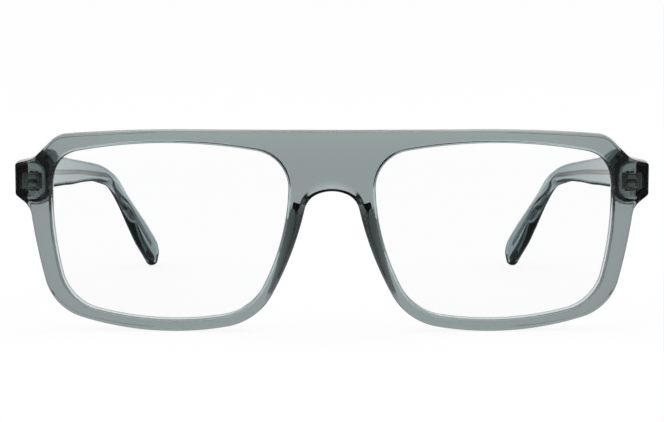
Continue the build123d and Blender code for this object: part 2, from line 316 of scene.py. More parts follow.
def distance_inside(points, outline):
    """How deep points lie inside a closed outline, negative outside it."""
    start, way = outline, np.roll(outline, -1, axis=0) - outline
    rel = points[:, None] - start[None]
    share = np.clip((rel * way).sum(2) / (way**2).sum(1), 0, 1)
    gap = np.linalg.norm(rel - share[..., None] * way, axis=2).min(1)
    return np.where(is_inside(points, outline), gap, -gap)


def is_inside(points, outline):
    """Whether each point lies inside a closed outline."""
    a, b = outline, np.roll(outline, -1, axis=0)
    x, z = points[:, :1], points[:, 1:]
    straddles = (a[:, 1] > z) != (b[:, 1] > z)
    rise = np.where(b[:, 1] == a[:, 1], 1, b[:, 1] - a[:, 1])
    cut = a[:, 0] + (z - a[:, 1]) * (b[:, 0] - a[:, 0]) / rise
    return (straddles & (x < cut)).sum(1) % 2 == 1


pad_edge = pad_outline()


def pad_height(x, z):
    """How far a nose pad stands off the back of the sheet."""
    depth = distance_inside(np.stack([np.abs(x), z], 1), pad_edge)
    climb = pad_steepness * above_zero(depth, pad_foot)
    climb = np.where(depth > -3 * pad_foot, climb, 0)
    return pad_depth - above_zero(pad_depth - climb, pad_brink)


# %% Bevel over the nose, and the whole back
saddle_height, saddle_steepness, saddle_reach, saddle_foot = 2.4, 0.75, (5.4, 8.0), 0.2


def saddle_cut(x, z):
    """How much the bevel over the nose takes off the back of the bridge."""
    over_arch = z - (arch_height - arch_drop * (x / nose_edge) ** 2)
    across = np.clip((saddle_reach[1] - np.abs(x)) / (saddle_reach[1] - saddle_reach[0]), 0, 1)
    cut = saddle_steepness * above_zero(saddle_height - over_arch, saddle_foot)
    return cut * across * across * (3 - 2 * across)


def back_depth(x, z):
    """The back face: the sheet, the end pieces, the pads and the bevel over the nose."""
    sheet = drum_depth(x, front_thickness)
    lump = end_piece_back(x, z)
    return sheet + above_zero(lump - sheet, foot_blend) + pad_height(x, z) - saddle_cut(x, z)


def flared(x, z):
    """How far a pad leans away from the nose at a place."""
    return np.sign(x) * tan(pad_flare) * pad_height(x, z)


print("end piece %.2f mm deep at the hinge" % end_piece_back(np.array([hinge_x]), np.array([hinge_z]))[0])

# %% [markdown]
# ## Rings and skins
# The solid is made of rings that run round each edge, from the front face over the rounding,
# along the wall and over the back rounding, and of two skins between them. The skins come from
# a constrained Delaunay fill: it keeps our edge points exactly and uses the points that we
# scatter between them, so the curved faces stay smooth under gloss.

# %% Rings along the edges
round_steps = 7
quarter = [pi / 2 * step / (round_steps - 1) for step in range(round_steps)]
wall_ring_share, wall_guard_share = 1.5, 1.3


def outer_rings(points):
    """Rings round the outer edge, from the front face to the back face."""
    out = outward(points)
    rings = []
    for angle in quarter:
        flat = points - out * edge_round * (1 - sin(angle))
        y = drum_depth(flat[:, 0], 0) + edge_round * (1 - cos(angle))
        rings.append(np.column_stack([flat[:, 0], y, flat[:, 1]]))
    middle = drum_depth(points[:, 0], front_thickness - wall_ring_share * edge_round)
    middle = np.minimum(middle, back_depth(*points.T) - wall_guard_share * edge_round)
    rings.append(np.column_stack([points[:, 0], middle, points[:, 1]]))
    for angle in reversed(quarter):
        flat = points - out * edge_round * (1 - sin(angle))
        x, z = flat.T
        y = back_depth(x, z) - edge_round * (1 - cos(angle))
        rings.append(np.column_stack([x + flared(x, z), y, z]))
    return rings


# %% Rings round an opening
def in_opening(flat, behind):
    """Points given in a lens's plane, moved square to it until some way behind the front face."""
    across = np.array([cos(lens_splay), sin(lens_splay)])
    back = np.array([-sin(lens_splay), cos(lens_splay)])
    start = np.array([lens_centre, drum_depth(lens_centre, 0) - face_curve_radius])
    start = start + flat[:, :1] * across
    middle = start @ back
    reach = middle**2 - (start**2).sum(1) + (face_curve_radius - behind) ** 2
    moved = start + (-middle - np.sqrt(reach))[:, None] * back
    return np.column_stack([moved[:, 0], moved[:, 1] + face_curve_radius, flat[:, 1]])


def opening_rings(points):
    """Rings round one opening, from the front face over the lens groove to the back face."""
    out = outward(points)
    rings = []
    for angle in quarter:
        flat = points + out * opening_round * (1 - sin(angle))
        rings.append(in_opening(flat, opening_round * (1 - cos(angle))))
    groove_front = (front_thickness - groove_width) / 2
    groove_back = groove_front + groove_width
    for behind, inset in (
        (groove_front, 0), (groove_front, groove_depth),
        (groove_back, groove_depth), (groove_back, 0),
    ):
        rings.append(in_opening(points + out * inset, behind))
    for angle in reversed(quarter):
        flat = points + out * opening_round * (1 - sin(angle))
        ring = in_opening(flat, front_thickness)
        x, z = ring[:, 0].copy(), ring[:, 2]
        ring[:, 0] += flared(x, z)
        ring[:, 1] = back_depth(x, z) - opening_round * (1 - cos(angle))
        rings.append(ring)
    return rings


def mirrored_rings(rings):
    """The rings of the other half, still running anticlockwise."""
    return [ring[::-1] * [-1, 1, 1] for ring in rings]


# %% Filling the skins
grid_gap, grid_guard_share = 1.4, 0.45
edge_guard = 0.15


def scattered(loops, extra):
    """Points for a skin: a line just inside each edge, the extra points, and an even grid."""
    outer_loop, *holes = loops
    guards = [outer_loop - outward(outer_loop) * edge_guard]
    guards += [hole + outward(hole) * edge_guard for hole in holes]
    edges = np.vstack(loops)
    points = np.vstack(guards)
    rows = np.arange(0, front_height, grid_gap * sqrt(3) / 2)
    columns = np.arange(-tab_edge, tab_edge, grid_gap)
    grid = np.array([(x + grid_gap / 2 * (row % 2), z) for row, z in enumerate(rows) for x in columns])
    for more, gap in ((extra, 2 * edge_guard), (grid, grid_guard_share * grid_gap)):
        if not len(more):
            continue
        inside = is_inside(more, outer_loop)
        for hole in holes:
            inside &= ~is_inside(more, hole)
        more = more[inside]
        for others in (edges, points):
            near = np.array([np.hypot(*(others - point).T).min() for point in more])
            more = more[near > gap]
        points = np.vstack([points, more])
    return points


# %% Triangles between the points
joining_distance = 1e-7


def fill_skin(loops, extra):
    """Points and triangles between an outline and its holes; the loops' points come first."""
    inner = scattered(loops, extra)
    points = np.vstack([*loops, inner])
    edges, start = [], 0
    for loop in loops:
        count = len(loop)
        edges += [(start + i, start + (i + 1) % count) for i in range(count)]
        start += count
    flat = [Vector(point) for point in points]
    found, _, faces, origins, _, _ = delaunay_2d_cdt(flat, edges, [], 0, joining_distance)
    assert len(found) == len(points), "the fill moved or joined a point"
    order = [origin[0] for origin in origins]
    faces = np.array([[order[i] for i in face] for face in faces])
    middles = points[faces].mean(1)
    keep = is_inside(middles, loops[0])
    for hole in loops[1:]:
        keep &= ~is_inside(middles, hole)
    return points, faces[keep]


# %% [markdown]
# ## One closed solid for the front
# Rings are joined by quads and the two skins close the solid. The steps of the end pieces and
# pads need more points than the rest, so the back's fill gets extra ones along their outlines.

# %% Extra points along the lumps
lump_offsets, lump_gap = np.arange(-0.6, 3.6, 0.3), 0.35
pad_offsets, pad_gap = np.arange(-2.7, 0.61, 0.18), 0.4
saddle_start, saddle_margin, saddle_gap = 0.2, (0.5, 0.6), (0.4, 0.25)


def offsets_of(outline, distances, gap):
    """Points beside an outline at several distances, spaced evenly along it."""
    steps = np.linalg.norm(np.roll(outline, -1, axis=0) - outline, axis=1)
    along = np.concatenate([[0], np.cumsum(steps)])
    wanted = np.arange(0, along[-1], gap)
    closed = np.vstack([outline, outline[:1]])
    even = np.column_stack([np.interp(wanted, along, closed[:, i]) for i in (0, 1)])
    return np.vstack([even + outward(even) * distance for distance in distances])


def lump_points():
    """Places where the back's height changes quickly, on both halves."""
    half_width, half_height = end_piece_width, end_piece_height / 2
    corners = [(-half_width, -half_height), (0, -half_height), (0, half_height), (-half_width, half_height)]
    corners = [(tab_edge + x, hinge_z + end_piece_lift + z) for x, z in corners]
    lump = rounded_outline(corners, [0] * 4, [end_piece_corner, 0, 0, end_piece_corner])
    around_lump = offsets_of(lump, lump_offsets, lump_gap)
    around_pad = offsets_of(pad_edge, pad_offsets, pad_gap)
    columns = np.arange(saddle_start, saddle_reach[1] + saddle_margin[0], saddle_gap[0])
    rows = np.arange(arch_height - arch_drop, arch_height + saddle_height + saddle_margin[1], saddle_gap[1])
    half = np.vstack([around_lump, around_pad, [(x, z) for x in columns for z in rows]])
    return np.vstack([half, half * [-1, 1]])


# %% Join rings and skins
def upright_to_frame(points):
    """Lean the front over the cheeks, still in millimetres."""
    x, y, z = np.asarray(points).T
    back = y * cos(face_lean) - z * sin(face_lean)
    return np.column_stack([x, back, y * sin(face_lean) + z * cos(face_lean)])


def band_faces(low, size):
    """Quads between a ring that starts at index low and the next ring."""
    high = low + size
    return [(low + i, low + (i + 1) % size, high + (i + 1) % size, high + i) for i in range(size)]


def unflared(flat):
    """Undo the pads' lean, so that edge points and skin points share one plane."""
    plain = flat.copy()
    for _ in range(12):
        plain[:, 0] = flat[:, 0] - flared(plain[:, 0], flat[:, 1])
    return plain


def front_solid():
    """Vertices and faces of the whole front with its pads, upright."""
    left = opening_rings(opening)
    bands = [outer_rings(outer), left, mirrored_rings(left)]
    vertices, faces, first_rings, last_rings = [], [], [], []
    count = 0
    for rings in bands:
        size = len(rings[0])
        for step in range(len(rings) - 1):
            faces += band_faces(count + step * size, size)
        first_rings.append(np.arange(size) + count)
        last_rings.append(np.arange(size) + count + (len(rings) - 1) * size)
        vertices += rings
        count += size * len(rings)
    placed = np.vstack(vertices)
    for rows, is_back in ((first_rings, False), (last_rings, True)):
        edge = np.concatenate(rows)
        loops = [placed[row][:, [0, 2]] for row in rows]
        if is_back:
            loops = [unflared(loop) for loop in loops]
        points, triangles = fill_skin(loops, lump_points() if is_back else [])
        inner = points[len(edge):]
        x, z = inner.T
        if is_back:
            skin = np.column_stack([x + flared(x, z), back_depth(x, z), z])
        else:
            skin = np.column_stack([x, drum_depth(x, 0), z])
        index = np.concatenate([edge, np.arange(len(inner)) + count])
        faces += [tuple(index[list(triangle)]) for triangle in triangles]
        placed = np.vstack([placed, skin])
        count += len(inner)
    return placed, faces


front_points, front_faces = front_solid()
print("front mesh:", len(front_points), "points,", len(front_faces), "faces")

# %% [markdown]
# ## From points to pieces
# Every piece is made the same way: points in millimetres become a mesh in metres, normals are
# turned outwards, and edges sharper than a set angle stay crisp while the rest is shaded smooth.

# %% Make a piece
crisp_angle = radians(35)


def finish_piece(mesh, work, materials, body, slot, *replaced):
    """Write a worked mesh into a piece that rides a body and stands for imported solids."""
    bmesh.ops.recalc_face_normals(work, faces=work.faces)
    work.to_mesh(mesh)
    work.free()
    mesh.shade_smooth()
    mesh.set_sharp_from_angle(angle=crisp_angle)
    for material in materials:
        mesh.materials.append(material)
    piece = bpy.data.objects.new(mesh.name, mesh)
    bpy.context.scene.collection.objects.link(piece)
    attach(piece, body)
    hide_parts(*replaced)
    return piece


def acetate_piece(name, points, faces, material, body, *replaced):
    """A piece of acetate from points in millimetres."""
    mesh = bpy.data.meshes.new(name)
    mesh.from_pydata((np.asarray(points) * MM).tolist(), [], [list(map(int, face)) for face in faces])
    mesh.validate()
    work = bmesh.new()
    work.from_mesh(mesh)
    return finish_piece(mesh, work, [material], body, "acetate", *replaced)


# %% [markdown]
# ## Acetate
# Clear grey acetate is a dielectric with a little dye in it: a sheet lets about a third of the
# light through, and thick places go almost black. Painting it grey would lose that, so the
# surface is clear glass with the index of acetate, and the grey comes from absorption in the
# volume. Absorption alone would turn thick places green, and they are nearly neutral. So half
# of the cool cast is a tint of the surface, which light crosses twice however thick the plastic
# is. Polishing leaves a faint waviness, which two soft noises give as a bump and as small
# changes in roughness. The thick pads look dark because light runs a long way through them, and
# a mark on the mesh's points, high on the pads, paints that shade into the surface colour.

# %% Acetate material
acetate_index = 1.49
front_tint, front_dye, front_density = (0.930, 1.0, 1.0), (1.0, 0.937, 0.941), 286.0
temple_tint, temple_dye, temple_density = (0.900, 1.0, 1.0), (1.0, 0.880, 0.852), 294.0
# Painted shade: the surface colour high on the pads, standing in for the dark of light's long way through
# them.
pad_shade_colour = (0.230, 0.237, 0.237)
gloss_scale, gloss_roughness = 900, 0.03
wave_scale, wave_detail, wave_strength, wave_depth = 160, 1.0, 0.25, 0.00002


def node_tree(name):
    """A new material, its nodes and links, and its output."""
    material = bpy.data.materials.new(name)
    material.use_nodes = True
    tree = material.node_tree
    tree.nodes.clear()
    output = tree.nodes.new("ShaderNodeOutputMaterial")
    return material, tree, output


def noise(tree, scale, detail=2.0):
    """A noise in the object's own space."""
    place = tree.nodes.new("ShaderNodeTexCoord")
    texture = tree.nodes.new("ShaderNodeTexNoise")
    texture.inputs["Scale"].default_value = scale
    texture.inputs["Detail"].default_value = detail
    tree.links.new(place.outputs["Object"], texture.inputs["Vector"])
    return texture.outputs["Fac"]


def spread(tree, value, low, high):
    """Map a value from 0..1 to a range."""
    node = tree.nodes.new("ShaderNodeMapRange")
    node.inputs["To Min"].default_value = low
    node.inputs["To Max"].default_value = high
    tree.links.new(value, node.inputs["Value"])
    return node.outputs["Result"]


def bumps(tree, height, strength, depth, surface):
    """Fine bumps on a surface, from a height between 0 and 1 and a depth in metres."""
    bump = tree.nodes.new("ShaderNodeBump")
    bump.inputs["Strength"].default_value = strength
    bump.inputs["Distance"].default_value = depth
    tree.links.new(height, bump.inputs["Height"])
    tree.links.new(bump.outputs["Normal"], surface.inputs["Normal"])


# %% Clear acetate and hazy pads
def acetate(name, tint, dye, density):
    """Polished clear acetate; its skin has a tint, and its dye takes a share of each colour."""
    material, tree, output = node_tree(name)
    surface = tree.nodes.new("ShaderNodeBsdfPrincipled")
    surface.inputs["Base Color"].default_value = (*tint, 1)
    surface.inputs["Transmission Weight"].default_value = 1.0
    surface.inputs["IOR"].default_value = acetate_index
    roughness = spread(tree, noise(tree, gloss_scale), 0.0, gloss_roughness)
    tree.links.new(roughness, surface.inputs["Roughness"])
    bumps(tree, noise(tree, wave_scale, wave_detail), wave_strength, wave_depth, surface)
    inside = tree.nodes.new("ShaderNodeVolumeAbsorption")
    inside.inputs["Color"].default_value = (*(1 - absorbed for absorbed in dye), 1)
    inside.inputs["Density"].default_value = density
    tree.links.new(surface.outputs[0], output.inputs["Surface"])
    tree.links.new(inside.outputs[0], output.inputs["Volume"])
    return material


def paint_pad_shade(material, tint):
    """Paint shade on the nose pads: a mark on the mesh's points darkens the material's surface colour."""
    tree = material.node_tree
    shade_attribute = tree.nodes.new("ShaderNodeAttribute")
    shade_attribute.attribute_name = "painted_pad_shade"
    skin = tree.nodes.new("ShaderNodeValToRGB")
    skin.color_ramp.elements[0].color = (*tint, 1)
    skin.color_ramp.elements[1].color = (*pad_shade_colour, 1)
    tree.links.new(shade_attribute.outputs["Fac"], skin.inputs["Fac"])
    surface = next(node for node in tree.nodes if node.type == "BSDF_PRINCIPLED")
    tree.links.new(skin.outputs["Color"], surface.inputs["Base Color"])


front_acetate = acetate("grey_acetate", front_tint, front_dye, front_density)
# Painted shade on the nose pads of the front.
paint_pad_shade(front_acetate, front_tint)
temple_acetate = acetate("grey_blue_acetate", temple_tint, temple_dye, temple_density)

# %% [markdown]
# ## Put the front in place
# The upright front leans four degrees over the cheeks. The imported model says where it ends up:
# the lowest corner of our mesh is moved onto the lowest corner of its solid.

# %% The front and its pads
leaning = upright_to_frame(front_points)
front_low = np.array(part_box("front")[0]) / MM
shift = front_low - leaning.min(0)
shift[0] = 0
front_placed = leaning + shift
front_piece = acetate_piece(
    "acetate_front", front_placed, front_faces, front_acetate, "front_body",
    "front", "nose_pad_left", "nose_pad_right",
)
# The mark for the painted shade on the pads: how far each point lies behind the sheet.
behind_sheet = front_points[:, 1] - drum_depth(front_points[:, 0], front_thickness)
on_pad = np.abs(front_points[:, 0]) < lens_in + rim_nasal
pad_shade_marks = np.where(on_pad, np.clip(behind_sheet / pad_shade_depth, 0, 1), 0)
front_piece.data.attributes.new("painted_pad_shade", "FLOAT", "POINT").data.foreach_set("value", pad_shade_marks)
print("front moved by", np.round(shift, 3))


def print_boxes(node, points):
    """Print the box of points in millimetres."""
    print(node, np.round(points.min(0), 2), np.round(points.max(0), 2))


print_boxes("front", front_placed)

# %% [markdown]
# ## Temples
# A temple is a bar with rounded edges whose height and direction change along its way: level to
# the ear, then 31 degrees down behind it, ending in a paddle. Stacking many cross-sections along
# a smooth line gives an even mesh. Both are built about the hinge's axis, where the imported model
# says it is, and the right one is the mirror image.

# %% Sizes along a temple
straight_length, bend_length, bend_bow, bend_turn = 10.0, 95.4, 12.7, radians(30.9)
tip_length, tip_bow, neck_height, paddle_height = 44.5, 9.8, 3.8, 7.0
tip_lower_end, tip_upper_end = (2.3, 2.3), (4.0, 5.2)
temple_round, tip_round = 0.27 * temple_thickness, 0.48 * temple_thickness
butt_gap, butt_round = 0.08, 0.2
temple_shares = [
    (0.110, 0.140, 1.000, 0.0),
    (0.340, 0.174, 1.010, 0.0),
    (0.560, 0.200, 0.980, 0.03),
    (0.660, 0.168, 0.890, 0.06),
    (0.770, 0.152, 0.738, 0.12),
    (0.930, 0.023, 0.575, 0.32),
]
butt_rise_share, butt_height_share = 0.075, 1.15
tip_shares = [
    (0.06, -0.078, 0.0, 0.80),
    (0.28, -0.038, 0.03, 1.0),
    (0.55, -0.075, 0.69, 1.0),
    (0.72, -0.085, 1.0, 1.0),
    (0.84, -0.064, 1.0, 1.0),
    (0.996, -0.064, 1.0, 1.0),
]


def inward_bow(along):
    """How far the temple's middle line has bowed in at a distance behind the hinge."""
    if along <= straight_length:
        return 0.0
    if along <= bend_length:
        return bend_bow * ((along - straight_length) / (bend_length - straight_length)) ** 2
    return bend_bow + tip_bow * (along - bend_length) / (tip_length * cos(bend_turn))


def temple_stations():
    """Where the sections stand: distance behind the hinge, rise, height, pitch and rounding."""
    butt = (butt_gap - butt_offset, butt_rise_share * tab_height)
    stations = [(*butt, butt_height_share * tab_height, 0, temple_round)]
    for along, rise, height, pitch in temple_shares:
        place = (along * bend_length, rise * tab_height)
        stations.append((*place, height * tab_height, pitch * bend_turn, temple_round))
    for along, rise, growth, pitch in tip_shares:
        run = along * tip_length
        place = (bend_length + run * cos(bend_turn), rise * tab_height - run * sin(bend_turn))
        height = neck_height + growth * (paddle_height - neck_height)
        stations.append((*place, height, pitch * bend_turn, tip_round))
    return np.array(stations)


# %% Smooth line through the stations
def smooth_through(keys, values, at):
    """A smooth curve through values at keys, without overshoot, read at other places."""
    steps = np.diff(keys)
    slopes = np.diff(values, axis=0) / steps[:, None]
    tangents = np.zeros_like(values)
    tangents[0], tangents[-1] = slopes[0], slopes[-1]
    for i in range(1, len(keys) - 1):
        before, after = steps[i - 1], steps[i]
        tangents[i] = (slopes[i - 1] * after + slopes[i] * before) / (before + after)
        level = slopes[i - 1] * slopes[i] <= 0
        tangents[i][level] = 0
    place = np.clip(np.searchsorted(keys, at, side="right") - 1, 0, len(keys) - 2)
    t = ((at - keys[place]) / steps[place])[:, None]
    width = steps[place][:, None]
    return (
        (2 * t**3 - 3 * t**2 + 1) * values[place] + (t**3 - 2 * t**2 + t) * width * tangents[place]
        + (3 * t**2 - 2 * t**3) * values[place + 1] + (t**3 - t**2) * width * tangents[place + 1]
    )


# %% A section and its rounded ends
corner_count, flat_shares = 8, (0.06, 0.35, 0.65, 0.94)
most_round_share = 0.49


def rounded_section(width, height, radius):
    """A rounded rectangle, with close points where its flats begin so that they stay flat."""
    radius = min(radius, most_round_share * width, most_round_share * height)
    half_width, half_height = width / 2, height / 2
    points = []
    for corner, (side_x, side_y) in enumerate(((1, 1), (-1, 1), (-1, -1), (1, -1))):
        centre = np.array([side_x * (half_width - radius), side_y * (half_height - radius)])
        angles = pi / 2 * (corner + np.linspace(0, 1, corner_count))
        points += [centre + radius * np.array([cos(angle), sin(angle)]) for angle in angles]
        way = np.array([-sin(angles[-1]), cos(angles[-1])])
        flat = 2 * ((half_width if corner % 2 == 0 else half_height) - radius)
        points += [points[-1] + way * flat * share for share in flat_shares]
    return np.array(points)


def rounding_inset(distance, inset, length):
    """How far a rounded end has drawn in at a distance before its very end."""
    share = min(1.0, distance / length)
    return inset * (1 - sqrt(share * (2 - share)))


# %% Build the temples
section_gap, last_gap_share, butt_steps = 1.0, 0.3, 5
end_steps = [0.0, 0.03, 0.1, 0.22, 0.4, 0.62, 0.85, 1.15, 1.5, 1.9, 2.4, 2.9, 3.5, 4.1, 4.8, 5.5]


def temple_points():
    """Sections of the left temple from the hinge back, in millimetres about the hinge."""
    stations = temple_stations()
    steps = np.hypot(np.diff(stations[:, 0]), np.diff(stations[:, 1]))
    keys = np.concatenate([[0], np.cumsum(steps)])
    total = keys[-1]
    places = list(np.linspace(0, butt_round, butt_steps))
    places += list(np.arange(section_gap, total - end_steps[-1] - last_gap_share * section_gap, section_gap))
    places += [total - distance for distance in reversed(end_steps)]
    read = smooth_through(keys, stations, np.array(places))
    rings = []
    for place, (along, rise, height, pitch, rounding) in zip(places, read):
        inward = asin((inward_bow(along + temple_thickness) - inward_bow(along)) / temple_thickness)
        across = np.array([cos(inward), sin(inward), 0])
        back = np.array([-sin(inward) * cos(pitch), cos(inward) * cos(pitch), -sin(pitch)])
        up = np.cross(across, back)
        left_over = total - place
        butt = rounding_inset(place, butt_round, butt_round)
        thin = rounding_inset(left_over, tip_round, tip_round) + butt
        lower = rounding_inset(left_over, *tip_lower_end) + butt
        upper = rounding_inset(left_over, *tip_upper_end) + butt
        section = rounded_section(temple_thickness - 2 * thin, height - lower - upper, rounding)
        middle = np.array([butt_offset + temple_thickness / 2 - inward_bow(along), along, rise])
        middle = middle + up * (lower - upper) / 2
        rings.append(middle + section[:, :1] * across + section[:, 1:] * up)
    return rings


def tube_faces(ring_count, size):
    """Quads between rings, with both ends closed."""
    last = (ring_count - 1) * size
    faces = []
    for low in range(0, last, size):
        faces += band_faces(low, size)
    return faces + [tuple(range(size)), tuple(range(last, last + size))]


def about_hinge(points, side):
    """Points given about the left hinge, placed in the frame; side is 1 for left, -1 for right."""
    x, y, z = np.asarray(points).T
    turned = np.column_stack([
        x, y * cos(hinge_pitch) + z * sin(hinge_pitch), z * cos(hinge_pitch) - y * sin(hinge_pitch)
    ])
    return (turned + np.array(left_joint["pos_m"]) / MM) * [side, 1, 1]


sides = {"left": 1, "right": -1}
rings = temple_points()
for side, sign in sides.items():
    placed = about_hinge(np.vstack(rings), sign)
    acetate_piece(
        "acetate_temple_" + side, placed, tube_faces(len(rings), len(rings[0])), temple_acetate,
        "temple_%s_body" % side, "temple_" + side,
    )
    print_boxes("temple_" + side, placed)

# %% [markdown]
# ## Metal
# The hinges are milled nickel silver, the screws turned steel and the wires inside the temples
# drawn steel. Each is a metal shader whose roughness follows the way it was cut: fine lines
# along the wire, a soft grain on the hinge. The metal sits straight in the plastic, as it does
# when a hot hinge is pressed in, so there is no air gap to draw as a bright line.

# %% Metal materials
grain_detail, grain_strength, grain_depth = 4.0, 0.3, 0.00001
dark_share, grain_ends, roughness_shares = 0.8, (0.3, 0.7), (0.7, 1.3)


def metal(name, colour, roughness, grain_scale, grain_stretch):
    """A metal whose roughness and fine bump come from a stretched noise."""
    material, tree, output = node_tree(name)
    surface = tree.nodes.new("ShaderNodeBsdfPrincipled")
    surface.inputs["Metallic"].default_value = 1.0
    place = tree.nodes.new("ShaderNodeTexCoord")
    stretch = tree.nodes.new("ShaderNodeMapping")
    stretch.inputs["Scale"].default_value = grain_stretch
    texture = tree.nodes.new("ShaderNodeTexNoise")
    texture.inputs["Scale"].default_value = grain_scale
    texture.inputs["Detail"].default_value = grain_detail
    tree.links.new(place.outputs["Object"], stretch.inputs["Vector"])
    tree.links.new(stretch.outputs["Vector"], texture.inputs["Vector"])
    ramp = tree.nodes.new("ShaderNodeValToRGB")
    for element, end, share in zip(ramp.color_ramp.elements, grain_ends, (dark_share, 1)):
        element.position = end
        element.color = (*(share * part for part in colour), 1)
    tree.links.new(texture.outputs["Fac"], ramp.inputs["Fac"])
    tree.links.new(ramp.outputs["Color"], surface.inputs["Base Color"])
    low, high = (share * roughness for share in roughness_shares)
    tree.links.new(spread(tree, texture.outputs["Fac"], low, high), surface.inputs["Roughness"])
    bumps(tree, texture.outputs["Fac"], grain_strength, grain_depth, surface)
    tree.links.new(surface.outputs[0], output.inputs["Surface"])
    return material


hinge_metal = metal("nickel_silver", (0.84, 0.81, 0.75), 0.28, 2500, (1, 1, 0.25))
# Painted shade: a dark copy of the nickel silver for the hinge leaves.
shaded_nickel_silver = metal("nickel_silver_painted_shade", (0.085, 0.080, 0.075), 0.42, 1800, (1, 0.4, 1))
screw_steel = metal("turned_steel", (0.55, 0.55, 0.56), 0.25, 3000, (1, 1, 0.2))
core_steel = metal("drawn_steel", (0.62, 0.63, 0.65), 0.22, 2500, (1, 0.08, 1))

# %% [markdown]
# ## Hinges
# Each hinge is a milled leaf with two domed lugs that were pressed into the warm plastic, and
# knuckles round the screw. The leaf is painted shade, a dark copy of the nickel silver, while its
# bevel and the lugs keep the plain colour. Blocks with rounded edges and short cylinders make
# them, about the hinge axis.

# %% Blocks and knuckles
leaf_thickness, hinge_height, knuckle_radius = 0.9, 4.0, 1.25
middle_share, hinge_play, end_play = 1 / 3, 0.06, 0.01
leaf_round, knuckle_round, knuckle_sides = 0.10, 0.12, 48
edge_angle = 0.6
# Material slots of a hinge: the painted-shade copy of the nickel silver, and the plain nickel silver.
shaded_leaf, bright = 0, 1


def add_shape(work, made, index, rounding, steps=3):
    """Round the edges of a shape that was just made, and give its faces a material."""
    edges = list({edge for vert in made for edge in vert.link_edges if edge.calc_face_angle(0) > edge_angle})
    bmesh.ops.bevel(work, geom=edges, offset=rounding, segments=steps, profile=0.5, affect="EDGES")
    for face in work.faces:
        if not face.tag:
            face.tag, face.material_index = True, index


def add_block(work, low, high, index, rounding, steps=3):
    """A block between two corners, in millimetres about the hinge."""
    low, high = Vector(low), Vector(high)
    made = bmesh.ops.create_cube(work, size=1.0)["verts"]
    for vert in made:
        vert.co = (low + high) / 2 + vert.co * (high - low)
    add_shape(work, made, index, rounding, steps)


def add_knuckle(work, low, high):
    """A bright knuckle round the hinge's axis between two heights."""
    ends = {"radius1": knuckle_radius, "radius2": knuckle_radius, "cap_ends": True}
    made = bmesh.ops.create_cone(work, segments=knuckle_sides, depth=high - low, **ends)["verts"]
    for vert in made:
        vert.co.z += (low + high) / 2
    add_shape(work, made, bright, knuckle_round)


def hinge_piece(name, add_parts, side, body, node):
    """A metal piece built about the left hinge and placed on one side."""
    work = bmesh.new()
    add_parts(work)
    placed = about_hinge([vert.co for vert in work.verts], sides[side]) * MM
    for vert, place in zip(work.verts, placed):
        vert.co = place
    finish_piece(bpy.data.meshes.new(name), work, [shaded_nickel_silver, hinge_metal], body, "hinge_metal", node)


# %% The leaf in the end piece
middle_top = middle_share * hinge_height / 2 - hinge_play / 2
upper_foot, upper_top = middle_top + hinge_play, hinge_height / 2 - end_play
leaf_proud, leaf_across, leaf_low, leaf_high = 0.03, (-1.85, 2.80), -1.62, 2.08
bevel_across, bevel_depth, bevel_round = (2.22, 2.78), (-0.12, 0.1), 0.05
lug_across, lug_depth, lug_root, lug_round, lug_steps = (-1.00, 1.75), 1.0, 0.3, 0.50, 6
lug_inset, lug_split = 0.05, 0.05
web_inset, web_round = 0.02, 0.04


def front_parts(work):
    """The leaf in the end piece, its bright bevel, two lugs and two knuckles."""
    back, front = -butt_offset + leaf_proud, -butt_offset - leaf_thickness
    left, right = leaf_across
    # The leaf takes the painted-shade copy of the metal.
    add_block(work, (left, front, leaf_low), (right, back, leaf_high), shaded_leaf, leaf_round)
    lowest, highest, middle = leaf_low + lug_inset, leaf_high - lug_inset, (leaf_low + leaf_high) / 2
    left, right = bevel_across
    near, far = (front + depth for depth in bevel_depth)
    add_block(work, (left, near, lowest), (right, far, highest), bright, bevel_round)
    left, right = lug_across
    near, far = front - lug_depth, front + lug_root
    for low, high in ((lowest, middle - lug_split), (middle + lug_split, highest)):
        add_block(work, (left, near, low), (right, far, high), bright, lug_round, lug_steps)
    for low, high in ((-upper_top, -upper_foot), (upper_foot, upper_top)):
        add_knuckle(work, low, high)
        low, high = low + web_inset, high - web_inset
        add_block(work, (-knuckle_radius, -butt_offset, low), (knuckle_radius, 0, high), bright, web_round)


# %% The leaf in the temple
temple_leaf_length, temple_lug_length, temple_lug_height = 8.0, 4.0, 3.0


def temple_parts(work):
    """The leaf in the temple's inner face, its lug and the middle knuckle."""
    inner, outer = butt_offset - leaf_proud, butt_offset + leaf_thickness
    start, reach = -knuckle_radius + butt_gap, -knuckle_radius + temple_leaf_length
    top = hinge_height / 2
    # The leaf takes the painted-shade copy of the metal.
    add_block(work, (inner, start, -top), (outer, reach, top), shaded_leaf, leaf_round)
    near, far, top = outer - lug_root, outer + lug_depth, temple_lug_height / 2
    add_block(work, (near, reach - temple_lug_length, -top), (far, reach, top), bright, lug_round, lug_steps)
    add_knuckle(work, -middle_top, middle_top)
    top = middle_top - web_inset
    add_block(work, (0, -knuckle_radius, -top), (butt_offset, knuckle_radius, top), bright, web_round)


for side in sides:
    hinge_piece("hinge_front_" + side, front_parts, side, "front_body", "front_hinge_" + side)
    hinge_piece("hinge_temple_" + side, temple_parts, side, "temple_%s_body" % side, "temple_hinge_" + side)
print("knuckles at", round(middle_top, 3), round(upper_foot, 3), round(upper_top, 3), "mm from the middle")

# %% [markdown]
# ## Lenses
# Demo lenses are thin clear sheets without power: light goes straight through them, and they
# only show as a faint sheen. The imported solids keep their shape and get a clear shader. Its gloss
# is weak from straight ahead, rises towards a grazing view and is very slightly uneven.

# %% Lens material
lens_clearness = (0.997, 0.998, 0.998)
lens_sheen, grazing_power = 0.013, 5.0
lens_scale, lens_roughness = 60, 0.02


